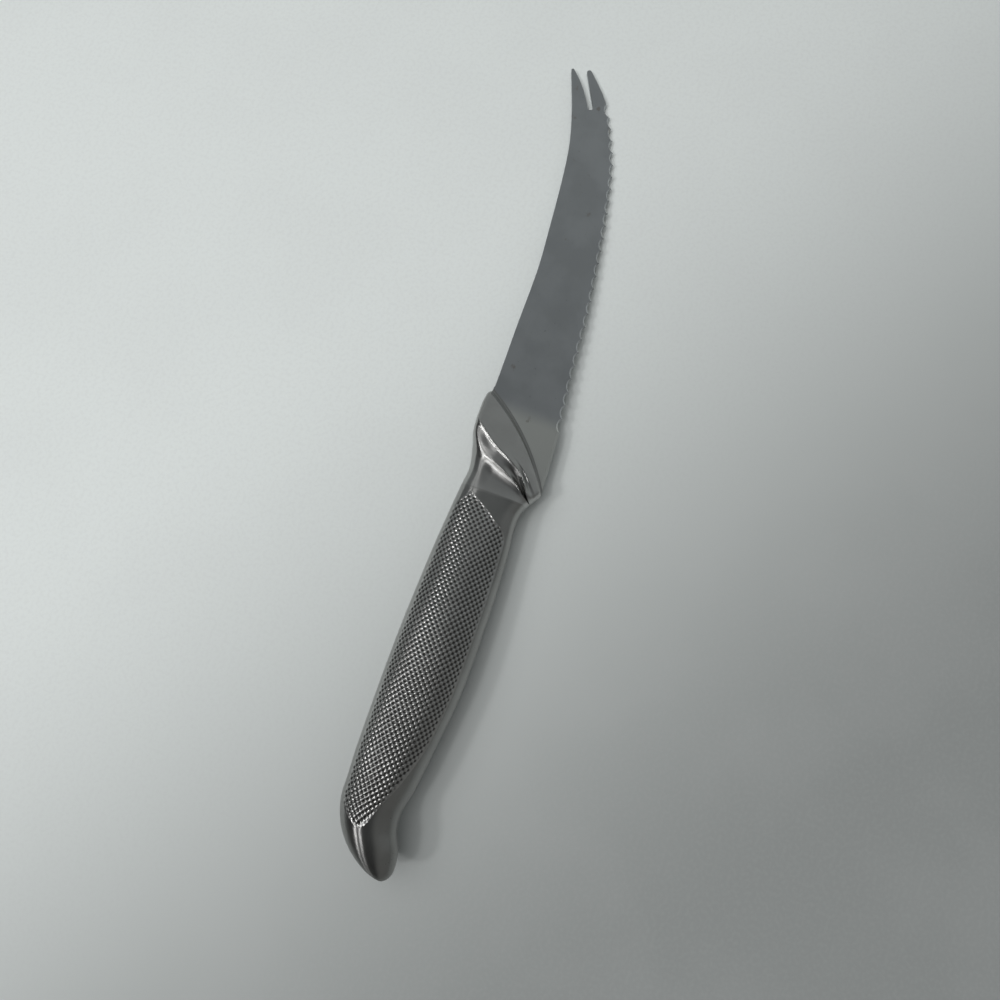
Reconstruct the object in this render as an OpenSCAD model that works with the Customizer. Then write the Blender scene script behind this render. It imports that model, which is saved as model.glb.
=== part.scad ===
// Tomato knife with a hollow steel handle: a forked, scalloped blade brazed into a cast bolster,
// and a grip of two pressed half shells, welded to each other and to the bolster.
// X runs along the grip towards the blade, +Y towards the spine, +Z out of the right-hand face.

/* [Handle] */
// Length of the pressed half shells, from the pommel's end to the bolster
shell_l = 106.4; // [92:0.2:124]
// Width of the grip at its widest, belly to spine
grip_w = 22.8; // [20:0.2:26]
// Thickness of the grip at its fullest, over both halves
grip_t = 18; // [15:0.2:22]
// Thickness of the neck where the shells meet the bolster
neck_t = 11.4; // [10.4:0.2:13]
// Thickness of the pommel before its rounded end
pommel_t = 13.6; // [11:0.2:16]
// Length of the round on the spine side of the pommel
pommel_back_l = 19; // [14:0.5:24]
// Length of the round on the hooked side of the pommel
pommel_hook_l = 3.5; // [2.5:0.1:5]
// Wall of the pressed shells
wall = 1.2; // [1:0.1:1.6]

/* [Grip panel] */
// Depth of the sunk panel in each shell, to the mean level of its dimpled texture
panel_depth = 0.2; // [0.1:0.05:0.5]
// Smooth band left between the panel and the belly
belly_band = 1.9; // [1.2:0.1:3]
// Smooth band left between the panel and the spine
spine_band = 1.1; // [0.8:0.1:2.5]
// Distance from the pommel's end to the panel
panel_start = 12; // [9:0.2:16]
// Distance from the panel's upper corner to the bolster
panel_end_gap = 0.8; // [0.4:0.1:4]
// Height of the panel's upper corner above the grip's middle
panel_corner_y = 6.5; // [4:0.1:7]

/* [Welds] */
// Width of the ground weld between the two shells
seam_w = 0.8; // [0.4:0.1:1.2]
// Width of the ground weld between the shells and the bolster
neck_weld_w = 0.8; // [0.4:0.1:1.2]
// Width of the flush braze between the blade and the bolster
braze_w = 0.7; // [0.4:0.1:1.2]

/* [Bolster] */
// Length of the bolster along the spine
bolster_spine_l = 29.8; // [27:0.2:34]
// Length of the bolster along the belly, to the heel of the blade
bolster_heel_l = 4.8; // [4:0.2:8]
// How far the front edge of the bolster bows towards the tip
front_bow = 2.3; // [1:0.1:3.5]
// Half thickness of the bolster at the crest of its fold
crest_h = 6.4; // [5.4:0.1:6.6]
// Half thickness of the bolster where its front fillet begins
facet_h = 2.6; // [2.4:0.1:3.8]
// Drop from the fold's lower edge down to the neck
step_h = 0.9; // [0.3:0.1:1.2]
// Depth of the valley behind the crest where it runs out at the belly
valley_h = 2.2; // [1:0.1:2.6]
// Length of the spigot that locates the shells on the bolster
spigot_l = 3; // [2:0.2:5]
// Clearance round the spigot
spigot_gap = 0.1; // [0.05:0.05:0.2]

/* [Blade] */
// Length of the blade along the spine, from the bolster to the fork's tips
blade_l = 112.6; // [100:0.2:130]
// Height of the blade at its root, heel to spine
blade_w = 24; // [22:0.2:26]
// How far the fork's upper tip rises above the spine at the root
tip_rise = 14.4; // [8:0.2:18]
// Thickness of the blade at the spine, beside the bolster
spine_t = 1.8; // [1.6:0.05:2.2]
// Thickness of the blade at the heel
heel_t = 0.7; // [0.65:0.05:1]
// Thickness of the blade at the fork's tips
tip_t = 1.5; // [1.4:0.05:1.8]
// Distance between the tips of neighbouring teeth
tooth_pitch = 4.27; // [3.4:0.01:5]
// Depth of a scallop below the line of the teeth
tooth_depth = 1; // [0.5:0.05:1.1]
// Width of the ground hollow that sharpens each scallop, on the right-hand face
grind_w = 0.4; // [0.4:0.1:1.3]
// Length of plain edge left at the heel
plain_l = 22; // [16:0.5:34]
// Width of the bevel that sharpens the plain edge, on the right-hand face
bevel_w = 0.8; // [0.4:0.1:1.2]
// Depth of the slot that makes the fork
fork_l = 12.7; // [9:0.1:15]
// Distance between the fork's two tips, across the blade
fork_spread = 5.3; // [4.4:0.1:6.4]
// Width of the slot at its root
fork_slot_w = 1.8; // [1:0.1:2]

/* [Tang] */
// Length of the tang inside the shells, behind the bolster
tang_l = 14; // [8:0.5:20]
// Width of the tang where it leaves the bolster
tang_w = 9; // [7:0.2:11]
// Step from the blade's face down to the tang's
tang_step = 0.12; // [0.08:0.02:0.2]
// Clearance round the tang in the bolster's slot
tang_gap = 0.05; // [0.03:0.01:0.1]

/* [Hidden] */
$fn = 64;
steel = "#8b8f90";
bright_steel = "#a9adac";
weld_steel = "#b4b6b3";

// Rows along the surfaces, and steps round half a section
pommel_rows = 16;
panel_rows = 42;
bolster_rows = 36;
steps = 22;
over = 1;

half_w = grip_w / 2;
half_seam = seam_w / 2;
neck_x = shell_l + neck_weld_w;
notch_x = neck_x + bolster_spine_l;
heel_x = neck_x + bolster_heel_l;

// A cubic through a list of [x, y] points, with slopes taken from the neighbours
function span(p, x, i = 0) = i >= len(p) - 2 || x < p[i + 1][0] ? i : span(p, x, i + 1);
function slope(p, i) =
    let (a = max(i - 1, 0), b = min(i + 1, len(p) - 1))
    (p[b][1] - p[a][1]) / (p[b][0] - p[a][0]);
function curve(p, x) =
    let (i = span(p, x), h = p[i + 1][0] - p[i][0], u = (x - p[i][0]) / h)
    (1 + 2 * u) * pow(1 - u, 2) * p[i][1] + u * pow(1 - u, 2) * h * slope(p, i)
    + u * u * (3 - 2 * u) * p[i + 1][1] + u * u * (u - 1) * h * slope(p, i + 1);
function curve_slope(p, x) = (curve(p, x + 0.01) - curve(p, x - 0.01)) / 0.02;
function mix(a, b, u) = a + (b - a) * u;
function ease(a, b, x) = let (u = min(max((x - a) / (b - a), 0), 1)) u * u * (3 - 2 * u);
function quarter(x, length) = x >= length ? 1 : sqrt(max(1 - pow(1 - x / length, 2), 0));
function joined(lists) = [for (l = lists) each l];
function arc(c, r, from, to, n) =
    [for (k = [0:n]) let (a = mix(from, to, k / n)) [c[0] + r * cos(a), c[1] + r * sin(a)]];

// Ends of the blade's root, and how far the bolster stands out past them
spine_lip = 0.3;
heel_lip = 0.1;
root_y = half_w - spine_lip;
heel_y = root_y - blade_w;

// Outlines of the handle seen from the side, in shares of each piece's length and half the grip's width
shell_spine = [[0, 0.86], [0.18, 0.87], [0.28, 0.93], [0.56, 1], [0.81, 0.965], [0.95, 0.9]];
shell_belly = [[0, -0.94], [0.033, -0.94], [0.079, -0.87], [0.12, -0.69], [0.164, -0.64],
    [0.226, -0.745], [0.34, -0.865], [0.49, -0.99], [0.7, -0.965], [0.865, -0.88], [0.963, -0.79]];
bolster_spine = [[0, 0.865], [0.18, 0.83], [0.4, 0.96], [0.54, 1.075], [0.8, 1.125], [0.92, 1.11],
    [0.975, 1.065], [1, 0.985]];
bolster_root_share = -0.89;
spine_points = concat(
    [for (p = shell_spine) [p[0] * shell_l, p[1] * half_w]],
    [for (p = bolster_spine) [neck_x + p[0] * bolster_spine_l, p[1] * half_w]]);
belly_points = concat(
    [for (p = shell_belly) [p[0] * shell_l, p[1] * half_w]],
    [[neck_x, bolster_root_share * half_w], [heel_x, heel_y - heel_lip]]);
pommel_tip_y = -0.72 * half_w;
pommel_back_power = 1.2;
function spine_y(x) =
    mix(pommel_tip_y, curve(spine_points, x), pow(quarter(x, pommel_back_l), pommel_back_power));
function belly_y(x) = mix(pommel_tip_y, curve(belly_points, x), quarter(x, pommel_hook_l));

// Half thickness along the handle, as the share of the way from the neck's to the grip's
pommel_round = 10;
pommel_round_power = 0.6;
pommel_fall = 0.8;
thick_points = [[0, pommel_t / 2 - pommel_fall], [0.09 * shell_l, pommel_t / 2],
    [0.25 * shell_l, mix(pommel_t, grip_t, 0.8) / 2], [0.45 * shell_l, grip_t / 2],
    [0.62 * shell_l, mix(neck_t, grip_t, 0.9) / 2], [0.86 * shell_l, mix(neck_t, grip_t, 0.3) / 2],
    [neck_x, neck_t / 2], [neck_x + spigot_l, neck_t / 2]];
function half_t(x) = curve(thick_points, x) * pow(quarter(x, pommel_round), pommel_round_power);

// A section is half of a rounded oval: rounder along the grip, flatter at the neck
pommel_fullness = 2.1;
grip_fullness = 2.3;
neck_fullness = 5;
function fullness(x) =
    let (u = x / shell_l)
    mix(mix(pommel_fullness, grip_fullness, ease(0.15, 0.35, u)), neck_fullness, ease(0.8, 1, u));
function oval(t, n) = sqrt(max(1 - pow(abs(t), n), 0));
function middle_y(x) = mix(belly_y(x), spine_y(x), 0.5);
least_h = 0.05;
function across(x, t, inset) =
    let (high = max(half_t(x) - inset, half_seam + least_h), y = middle_y(x),
        top = spine_y(x) - inset, bottom = belly_y(x) + inset)
    [x, t > 0 ? mix(y, top, t) : mix(y, bottom, -t),
     half_seam + (high - half_seam) * oval(t, fullness(x))];

// The sunk panel: its two long edges as heights, and as positions across the section
panel_low_x = panel_start;
panel_high_x = shell_l - panel_end_gap;
panel_low_l = 26;
panel_spine_low_l = 6;
panel_spine_high_l = 5;
panel_belly_high_l = 10.5;
panel_tip_y = 0.17 * half_w;
low_shape = [[0, 0], [0.03, 0.17], [0.14, 0.36], [0.36, 0.62], [0.63, 0.84], [1, 1], [2, 1.01]];
high_shape = [[-1, 0], [0, 0], [0.28, 0.09], [0.5, 0.33], [0.74, 0.6], [1, 1]];
function panel_spine_y(x) =
    let (edge = spine_y(x) - spine_band)
    x > panel_high_x - panel_spine_high_l
        ? mix(edge, panel_corner_y, ease(panel_high_x - panel_spine_high_l, panel_high_x, x))
        : mix(panel_tip_y, edge, quarter(x - panel_low_x, panel_spine_low_l));
function panel_belly_y(x) =
    let (edge = belly_y(x) + belly_band)
    x > panel_high_x - panel_belly_high_l
        ? mix(edge, panel_corner_y, curve(high_shape, 1 - (panel_high_x - x) / panel_belly_high_l))
        : mix(panel_tip_y, edge, curve(low_shape, min((x - panel_low_x) / panel_low_l, 1)));
function place(x, y) =
    let (m = middle_y(x)) y > m ? (y - m) / (spine_y(x) - m) : -(m - y) / (m - belly_y(x));

// Positions round a section, each an angle and whether it lies on the sunk floor
spine_steps = 5;
belly_steps = 6;
floor_steps = steps - spine_steps - belly_steps - 2;
panel_wall_angle = 1.4;
function angle_at(x, y) = acos(min(max(place(x, y), -0.995), 0.995));
function panel_angles(x) =
    let (upper = angle_at(x, panel_spine_y(x)), lower = angle_at(x, panel_belly_y(x)),
        w = min(panel_wall_angle, (lower - upper) / 4))
    concat([for (k = [0:spine_steps]) [upper * k / spine_steps, 0]],
        [for (k = [0:floor_steps]) [mix(upper + w, lower - w, k / floor_steps), 1]],
        [for (k = [0:belly_steps]) [mix(lower, 180, k / belly_steps), 0]]);
plain_angles = [for (k = [0:steps]) [180 * k / steps, 0]];
function angles(x) = x > panel_low_x && x < panel_high_x ? panel_angles(x) : plain_angles;

// Stations along the shells: close together at the pommel and at the ends of the panel
pommel_tip_x = 0.05;
panel_edge_gap = 0.3;
panel_l = panel_high_x - panel_low_x;
stations = concat(
    [pommel_tip_x],
    [for (k = [2:pommel_rows]) panel_low_x * (1 - cos(90 * k / pommel_rows))],
    [for (k = [0:panel_rows])
        panel_low_x + panel_edge_gap + (panel_l - 2 * panel_edge_gap) * (1 - cos(180 * k / panel_rows)) / 2],
    [panel_high_x, shell_l]);
hollow_start = 5;
function hollow_x(x) = hollow_start + x * (shell_l - hollow_start) / shell_l;

// Triangles between two rows of n points, and the same faces seen from the other side
function strip(a, b, n) = [for (k = [0:n - 2])
    each [[a + k, a + k + 1, b + k + 1], [a + k, b + k + 1, b + k]]];
function turned(faces) = [for (f = faces) [f[2], f[1], f[0]]];

// One pressed half shell, lying on the plane of the seam
module half_shell() {
    outer = [for (x = stations) [for (a = angles(x)) across(x, cos(a[0]), a[1] * panel_depth)]];
    inner = [for (x = stations) [for (a = plain_angles) across(hollow_x(x), cos(a[0]), wall)]];
    n = steps + 1;
    rows = len(stations);
    hole = n * rows;
    last = n * (rows - 1);
    edges = [for (i = [0:rows - 2])
        let (a = i * n, b = a + n, c = a + n - 1, d = c + n)
        each [[a, a + hole, b + hole], [a, b + hole, b], [c, d + hole, c + hole], [c, d, d + hole]]];
    polyhedron(joined(concat(outer, inner)), concat(
        joined([for (i = [0:rows - 2]) turned(strip(i * n, i * n + n, n))]),
        joined([for (i = [0:rows - 2]) strip(hole + i * n, hole + i * n + n, n)]),
        edges,
        turned(strip(last, last + hole, n)),
        [[for (k = [0:n - 1]) k]],
        [[for (k = [0:n - 1]) hole + n - 1 - k]],
        [[0, n - 1, hole + n - 1], [0, hole + n - 1, hole]]));
}

module right_shell() {
    color(bright_steel) half_shell();
}

module left_shell() {
    color(bright_steel) mirror([0, 0, 1]) half_shell();
}

// The weld that closes the two shells: one ground strip from the neck round the pommel and back
module seam_weld() {
    outline = concat([for (x = stations) [x, spine_y(x)]],
        [for (i = [len(stations) - 1:-1:0]) [stations[i], belly_y(stations[i])]]);
    inside = concat([for (x = stations) [hollow_x(x), spine_y(hollow_x(x)) - wall]],
        [[shell_l + over, spine_y(shell_l) - wall], [shell_l + over, belly_y(shell_l) + wall]],
        [for (i = [len(stations) - 1:-1:0])
            let (x = hollow_x(stations[i])) [x, belly_y(x) + wall]]);
    color(weld_steel) linear_extrude(seam_w, center = true) difference() {
        polygon(outline);
        polygon(inside);
    }
}

// A full section, both halves round
function ring(x, inset) = concat(
    [for (a = plain_angles) across(x, cos(a[0]), inset)],
    [for (k = [steps:-1:0]) let (p = across(x, cos(plain_angles[k][0]), inset)) [p[0], p[1], -p[2]]]);
function around(a, b, n) = [for (k = [0:n - 1])
    let (j = (k + 1) % n) each [[a + k, b + j, a + j], [a + k, b + k, b + j]]];

module neck_weld() {
    n = 2 * steps + 2;
    color(weld_steel) polyhedron(
        concat(ring(shell_l, 0), ring(neck_x, 0), ring(shell_l, wall), ring(neck_x, wall)),
        concat(around(0, n, n), turned(around(2 * n, 3 * n, n)),
            turned(around(0, 2 * n, n)), around(n, 3 * n, n)));
}

// The bolster's front edge: an arc from the notch on the spine to the heel, run at t from -1 to 1
notch = [notch_x, half_w];
heel = [heel_x, heel_y - heel_lip];
front_chord = norm(notch - heel);
front_r = (pow(front_chord / 2, 2) + pow(front_bow, 2)) / (2 * front_bow);
front_dir = (notch - heel) / front_chord;
front_out = [front_dir[1], -front_dir[0]];
front_mid = (notch + heel) / 2;
front_half = asin(front_chord / 2 / front_r);
function front(t, off) =
    front_mid + front_out * (front_bow - front_r + (front_r + off) * cos(front_half * t))
    + front_dir * (front_r + off) * sin(front_half * t);

// Thickness of the blade at a point of its face: three thicknesses set the plane of each face
tip_x = notch_x + blade_l;
top_r = 0.5;
low_r = 0.8;
fork_stagger = 1.4;
fork_top = [tip_x - fork_stagger - top_r, root_y + tip_rise - top_r];
fork_low = [tip_x - low_r, fork_top[1] - fork_spread];
span_a = notch - heel;
span_b = (fork_top + fork_low) / 2 - heel;
rise_a = spine_t - heel_t;
rise_b = tip_t - heel_t;
span_det = span_a[0] * span_b[1] - span_b[0] * span_a[1];
lean_x = (rise_a * span_b[1] - rise_b * span_a[1]) / span_det;
lean_y = (span_a[0] * rise_b - span_b[0] * rise_a) / span_det;
function blade_t(p) = heel_t + lean_x * (p[0] - heel[0]) + lean_y * (p[1] - heel[1]);

// Heights over the bolster, on lines from the neck (share 0) to the front edge (share 1)
crest_share = [[-1, 0.3], [-0.8, 0.38], [-0.6, 0.54], [-0.4, 0.6], [0, 0.585], [0.4, 0.575],
    [0.8, 0.63], [1, 0.66]];
front_fullness = 26;
fold_share = [[-1, 0.2], [-0.7, 0.28], [-0.4, 0.35], [0, 0.37], [1, 0.37]];
second_share = 0.71;
fillet_share = 0.965;
neck_dip = 0.5;
crest_fall = 1.2;
crest_round = 0.3;
crest_valley = 0.4;
lip_rise = 0.1;
second_valley_h = 1.3;
function fold(t, edge) =
    let (spine = ease(0.3, 0.75, t), belly = 1 - ease(-0.8, 0.1, t),
        rc = curve(crest_share, t), rf = curve(fold_share, t),
        foot = neck_t / 2 - neck_dip * (1 - spine), crest = crest_h - crest_fall * belly,
        step = step_h * (1 - spine) * (1 - belly), lip = foot + step,
        facet = mix(facet_h, crest, (fillet_share - second_share) / (fillet_share - rc)))
    [[0, neck_t / 2], [rf * 0.35, mix(neck_t / 2, foot, 0.7)], [rf * 0.6, foot],
     [rf * 0.8, foot + 0.28 * step], [rf - 0.02, foot + 0.72 * step], [rf, lip],
     [mix(rf, rc, 0.35), mix(mix(lip, crest, 0.3 * spine), crest - valley_h, belly)],
     [rc - 0.05, mix(mix(lip + lip_rise, crest - crest_round, spine), crest - crest_valley, belly)],
     [rc, crest],
     [mix(rc, second_share, 0.55), mix(mix(crest, facet, 0.55), crest - second_valley_h, belly)],
     [second_share, facet], [fillet_share, facet_h], [0.99, mix(edge, facet_h, 0.35)],
     [1, edge], [1.1, edge]];
function bolster_point(r, t, side) =
    let (f = front(t, 0), share = (f[1] - heel[1]) / (notch[1] - heel[1]),
        x = neck_x + r * (f[0] - neck_x),
        top = spine_y(neck_x + r * bolster_spine_l), bottom = belly_y(neck_x + r * bolster_heel_l),
        y = mix(bottom, top, mix((t + 1) / 2, share, r)),
        edge = blade_t(f) / 2, rim = mix(half_seam, edge, r),
        n = mix(neck_fullness, front_fullness, ease(0.3, 0.62, r)))
    [x, y, side * (rim + (curve(fold(t, edge), r) - rim) * oval(t, n))];
function bolster_ring(r) = concat(
    [for (k = [0:steps]) bolster_point(r, cos(180 * k / steps), 1)],
    [for (k = [steps:-1:0]) bolster_point(r, cos(180 * k / steps), -1)]);
function bolster_r(k) = let (u = k / bolster_rows) mix(u, sin(90 * u), 0.5);

// The tang's outline, grown all round for the slot that takes it
tang_top_share = 0.7;
tang_bottom_share = -0.62;
tang_y = -0.1 * half_w;
tang_tail_w = 0.7 * tang_w;
tang_corner = 2;
module tang_outline(grow) {
    a = front(tang_top_share, braze_w + over);
    b = front(tang_bottom_share, braze_w + over);
    c = front(tang_top_share, 0);
    d = front(tang_bottom_share, 0);
    e = shell_l - tang_l;
    tail = tang_tail_w / 2;
    polygon([a + [0, grow], c + [0, grow], [neck_x, tang_y + tang_w / 2 + grow],
        [e + tang_corner, tang_y + tail + grow], [e - grow, tang_y + tail - tang_corner],
        [e - grow, tang_y - tail + tang_corner], [e + tang_corner, tang_y - tail - grow],
        [neck_x, tang_y - tang_w / 2 - grow], d - [0, grow], b - [0, grow]]);
}

// What lies between the two faces of the blade, each moved in by step
lean_k = 1 / norm([lean_x / 2, lean_y / 2, 1]);
face_turn = [asin(lean_y / 2 * lean_k), -atan(lean_x / 2), 0];
big = 4 * (tip_x + blade_w);
module above_face(step) {
    translate([heel[0], heel[1], heel_t / 2 - step]) rotate(face_turn)
        translate([-big / 2, -big / 2, 0]) cube([big, big, big]);
}
module between_faces(step) {
    difference() {
        linear_extrude(2 * spine_t, center = true) children();
        above_face(step);
        mirror([0, 0, 1]) above_face(step);
    }
}

module bolster() {
    n = 2 * steps + 2;
    color(steel) difference() {
        union() {
            polyhedron(joined([for (k = [0:bolster_rows]) bolster_ring(bolster_r(k))]), concat(
                joined([for (k = [0:bolster_rows - 1]) around(k * n, k * n + n, n)]),
                [[for (k = [0:n - 1]) k]],
                [for (k = [0:steps - 1]) let (a = bolster_rows * n, b = a + n - 1)
                    each [[a + k, b - k - 1, a + k + 1], [a + k, b - k, b - k - 1]]]));
            spigot();
        }
        between_faces(tang_step - tang_gap) tang_outline(tang_gap);
    }
}

module spigot() {
    grip = wall + spigot_gap;
    far = shell_l - spigot_l;
    top = min(spine_y(shell_l), spine_y(far)) - grip;
    bottom = max(belly_y(shell_l), belly_y(far)) + grip;
    high = neck_t / 2 - grip;
    half = [for (k = [0:steps])
        let (t = cos(180 * k / steps))
        [half_seam + (high - half_seam) * oval(t, fullness(shell_l)), mix(bottom, top, (t + 1) / 2)]];
    translate([far, 0, 0]) rotate([0, 90, 0]) linear_extrude(spigot_l + neck_weld_w)
        polygon(concat([for (p = half) [-p[0], p[1]]], [for (k = [steps:-1:0]) half[k]]));
}

module blade_braze() {
    color(weld_steel) difference() {
        between_faces(0) intersection() {
            blade_outline();
            front_band(0, braze_w);
        }
        between_faces(tang_step) tang_outline(0);
    }
}

// A band that follows the bolster's front edge
module front_band(near, far) {
    polygon(concat([for (k = [0:steps]) front(cos(180 * k / steps), near)],
        [for (k = [steps:-1:0]) front(cos(180 * k / steps), far)]));
}

// All that lies behind the bolster's front edge, or off millimetres past it
module behind_front(off) {
    first = front(1, off);
    last = front(-1, off);
    polygon(concat([for (k = [0:steps]) front(cos(180 * k / steps), off)],
        [[last[0], -2 * blade_w], [0, -2 * blade_w], [0, 2 * blade_w], [first[0], 2 * blade_w]]));
}

// The blade's outline, with the fork cut and the teeth still to be scalloped
spine_shape = [[0, 0.03], [0.012, 0.004], [0.2, 0.04], [0.37, 0.066], [0.5, 0.16], [0.66, 0.3],
    [0.76, 0.43], [0.86, 0.65]];
edge_shape = [[0, 0], [0.13, 0.035], [0.3, 0.115], [0.42, 0.165], [0.54, 0.24], [0.66, 0.33], [0.78, 0.445],
    [0.84, 0.54], [0.898, 0.645], [0.92, 0.71], [0.945, 0.785], [0.972, 0.885]];
top_start = fork_top + top_r * [cos(112), sin(112)];
low_start = fork_low + low_r * [cos(-42), sin(-42)];
edge_l = low_start[0] - heel_x;
edge_rise = low_start[1] - heel_y;
blade_spine = concat(
    [for (p = spine_shape) [notch_x + p[0] * blade_l, root_y + p[1] * tip_rise]], [top_start]);
blade_edge = concat(
    [for (p = edge_shape) [heel_x + p[0] * edge_l, heel_y + p[1] * edge_rise]], [low_start]);
slot_angle = 20.5;
slot_root = fork_low - fork_l * [cos(slot_angle), sin(slot_angle)];
slot_r = fork_slot_w / 2;
outline_steps = 40;

module blade_outline() {
    upper_root = slot_root + slot_r * [cos(118), sin(118)];
    upper_tip = fork_top + top_r * [cos(-48), sin(-48)];
    upper_sag = 0.6;
    upper_dir = (upper_tip - upper_root) / norm(upper_tip - upper_root);
    upper_out = [-upper_dir[1], upper_dir[0]];
    polygon(concat(
        [[neck_x, root_y], [notch_x - over, blade_spine[0][1]]],
        [for (k = [0:outline_steps])
            let (x = mix(notch_x, top_start[0], k / outline_steps)) [x, curve(blade_spine, x)]],
        arc(fork_top, top_r, 100, -40, 8),
        [for (k = [0:8]) let (u = 1 - k / 8)
            upper_root + (upper_tip - upper_root) * u - upper_out * upper_sag * 4 * u * (1 - u)],
        arc(slot_root, slot_r, 140, 270, 8),
        arc(fork_low, low_r, 110, -36, 8),
        [for (k = [0:outline_steps])
            let (x = mix(low_start[0], heel_x, k / outline_steps)) [x, curve(blade_edge, x)]],
        [[neck_x, heel_y]]));
}

// Scallops: each a round cut through the edge, opened towards the right-hand face by its grind
scallop_r = (pow(tooth_pitch / 2, 2) + pow(tooth_depth, 2)) / (2 * tooth_depth);
first_tooth_gap = 14;
first_tooth_x = tip_x - first_tooth_gap;
function unit(slope) = [1, slope] / norm([1, slope]);
function scallops(x) = x < heel_x + plain_l ? [] :
    let (d = unit(curve_slope(blade_edge, x))) concat([[x, d]], scallops(x - tooth_pitch * d[0]));

module scallop(x, d) {
    p = [x, curve(blade_edge, x)] + [d[1], -d[0]] * (scallop_r - tooth_depth);
    t = blade_t([x, curve(blade_edge, x)]);
    far = 3 * t;
    translate([p[0], p[1], -over]) cylinder(h = 2 * over, r = scallop_r);
    translate([p[0], p[1], -t / 2])
        cylinder(h = far, r1 = scallop_r, r2 = scallop_r + grind_w * far / t);
}

// The bevel along the plain edge: a wedge of three points a row, swept from the heel to the first scallop
bevel_land = 0.12;
bevel_steps = 12;
module plain_bevel() {
    rows = [for (k = [0:bevel_steps])
        let (x = mix(heel_x - over, heel_x + plain_l, k / bevel_steps), y = curve(blade_edge, x),
            d = unit(curve_slope(blade_edge, x)), out = [d[1], -d[0]], t = blade_t([x, y]),
            drop = (t - bevel_land) / bevel_w, top = t / 2 + over * drop,
            low = bevel_land - t / 2 - over * drop)
        [for (p = [[-bevel_w - over, top], [over, top], [over, low]])
            [x + out[0] * p[0], y + out[1] * p[0], p[1]]]];
    polyhedron(joined(rows), concat(
        joined([for (k = [0:bevel_steps - 1]) turned(around(3 * k, 3 * k + 3, 3))]),
        [[0, 1, 2], [3 * bevel_steps + 2, 3 * bevel_steps + 1, 3 * bevel_steps]]));
}

module blade() {
    color(steel) difference() {
        union() {
            between_faces(0) difference() {
                blade_outline();
                behind_front(braze_w);
            }
            between_faces(tang_step) tang_outline(0);
        }
        for (s = scallops(first_tooth_x + tooth_pitch / 2)) scallop(s[0], s[1]);
        plain_bevel();
    }
}

// The origin is under the middle of the whole knife, which lies on its left-hand face
middle_x = (stations[0] + fork_low[0] + low_r) / 2;
middle_of_y = (heel[1] + fork_top[1] + top_r) / 2;
rest_z = grip_t / 2 - panel_depth;
module set_down() {
    translate([-middle_x, -middle_of_y, rest_z]) children();
}

set_down() blade();
set_down() blade_braze();
set_down() bolster();
set_down() neck_weld();
set_down() right_shell();
set_down() left_shell();
set_down() seam_weld();
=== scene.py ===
import bpy
import math
import numpy as np
from mathutils import Matrix, Vector


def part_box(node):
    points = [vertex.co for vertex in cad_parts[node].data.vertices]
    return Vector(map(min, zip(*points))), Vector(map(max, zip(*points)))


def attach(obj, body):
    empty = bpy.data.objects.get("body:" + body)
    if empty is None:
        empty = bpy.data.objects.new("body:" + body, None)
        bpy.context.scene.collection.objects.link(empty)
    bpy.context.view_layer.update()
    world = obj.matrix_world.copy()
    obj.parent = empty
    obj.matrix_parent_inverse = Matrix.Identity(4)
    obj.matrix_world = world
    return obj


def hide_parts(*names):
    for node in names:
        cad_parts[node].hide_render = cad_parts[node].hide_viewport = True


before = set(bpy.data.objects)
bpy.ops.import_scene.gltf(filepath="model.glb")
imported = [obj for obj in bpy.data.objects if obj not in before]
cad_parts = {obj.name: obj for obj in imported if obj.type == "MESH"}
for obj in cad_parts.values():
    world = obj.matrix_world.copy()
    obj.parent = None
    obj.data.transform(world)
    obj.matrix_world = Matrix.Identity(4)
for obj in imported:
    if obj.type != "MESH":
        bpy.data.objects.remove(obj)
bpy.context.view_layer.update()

# Sizes in millimetres, in the knife's own frame: x from the pommel, y to the spine, z out of the right face

MM = 0.001
shell_l = 106.4
grip_w = 22.8
grip_t = 18
neck_t = 11.4
pommel_t = 13.6
pommel_end_dip = 0.8
pommel_back_l = 19
pommel_back_power = 1.2
pommel_hook_l = 3.5
pommel_round = 10
pommel_round_power = 0.6
wall = 1.2
seam_w = 0.8
neck_weld_w = 0.8
braze_w = 0.7
bolster_spine_l = 29.8
bolster_heel_l = 4.8
spigot_l = 3
spigot_gap = 0.1
blade_l = 112.6
blade_w = 24
tip_rise = 14.4
spine_t = 1.8
heel_t = 0.7
tip_t = 1.5
root_drop = 0.3
heel_lap = 0.1

half_w = grip_w / 2
half_seam = seam_w / 2
neck_x = shell_l + neck_weld_w
notch_x = neck_x + bolster_spine_l
heel_x = neck_x + bolster_heel_l
root_y = half_w - root_drop
heel_y = root_y - blade_w
tip_x = notch_x + blade_l
fork_top_y = root_y + tip_rise

# Where the knife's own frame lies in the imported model's

seam_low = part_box("seam_weld")[0]
blade_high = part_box("blade")[1]
shell_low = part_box("right_shell")[0]
pommel_tip_x = 0.05
origin = np.array([
    seam_low.x - pommel_tip_x * MM, blade_high.y - fork_top_y * MM, shell_low.z - half_seam * MM])


def placed(points):
    """Points of the knife's own frame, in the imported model's."""
    return np.asarray(points, float) * MM + origin


def curve(points, x):
    """A cubic through [x, y] points, with slopes taken from the neighbours."""
    px, py = np.array(points, float).T
    last = len(px) - 1
    before = np.maximum(np.arange(last + 1) - 1, 0)
    after = np.minimum(np.arange(last + 1) + 1, last)
    slope = (py[after] - py[before]) / (px[after] - px[before])
    i = np.clip(np.searchsorted(px, x, side="right") - 1, 0, last - 1)
    h = px[i + 1] - px[i]
    u = (x - px[i]) / h
    return ((1 + 2 * u) * (1 - u) ** 2 * py[i] + u * (1 - u) ** 2 * h * slope[i]
            + u * u * (3 - 2 * u) * py[i + 1] + u * u * (u - 1) * h * slope[i + 1])


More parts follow.
